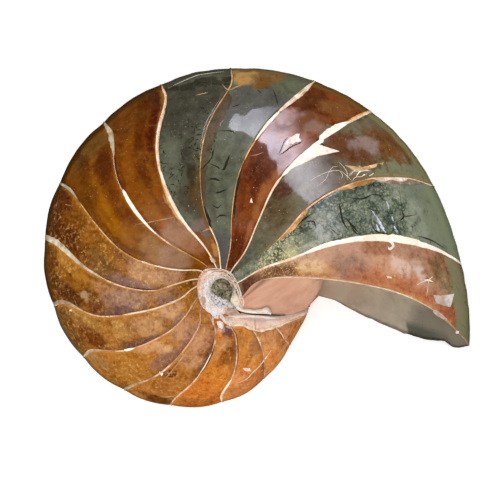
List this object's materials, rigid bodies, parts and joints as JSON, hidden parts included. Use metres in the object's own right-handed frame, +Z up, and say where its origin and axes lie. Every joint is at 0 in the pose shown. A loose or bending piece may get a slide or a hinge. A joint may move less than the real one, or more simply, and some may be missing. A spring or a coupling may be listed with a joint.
{
  "type": "polished fossil nautilus half",
  "caption": "Half of a fossil nautilus with a polished domed flank, open last septum, sunken umbilicus and a flat sawn face to rest on.",
  "frame": {"origin": "middle of the bounding box, on the flat sawn face", "axes": "+Z up out of the domed flank; +X towards the tip of the last septum, along the shell's longest side; -Z out of the sawn face"},
  "size_m": [0.0998, 0.0795, 0.0251],
  "materials": {
    "polished_fossil": "polished amber calcite, grey mudstone fill and cream shell edges"
  },
  "bodies": {
    "root": {"nautilus_half": "polished_fossil"}
  },
  "joints": []
}
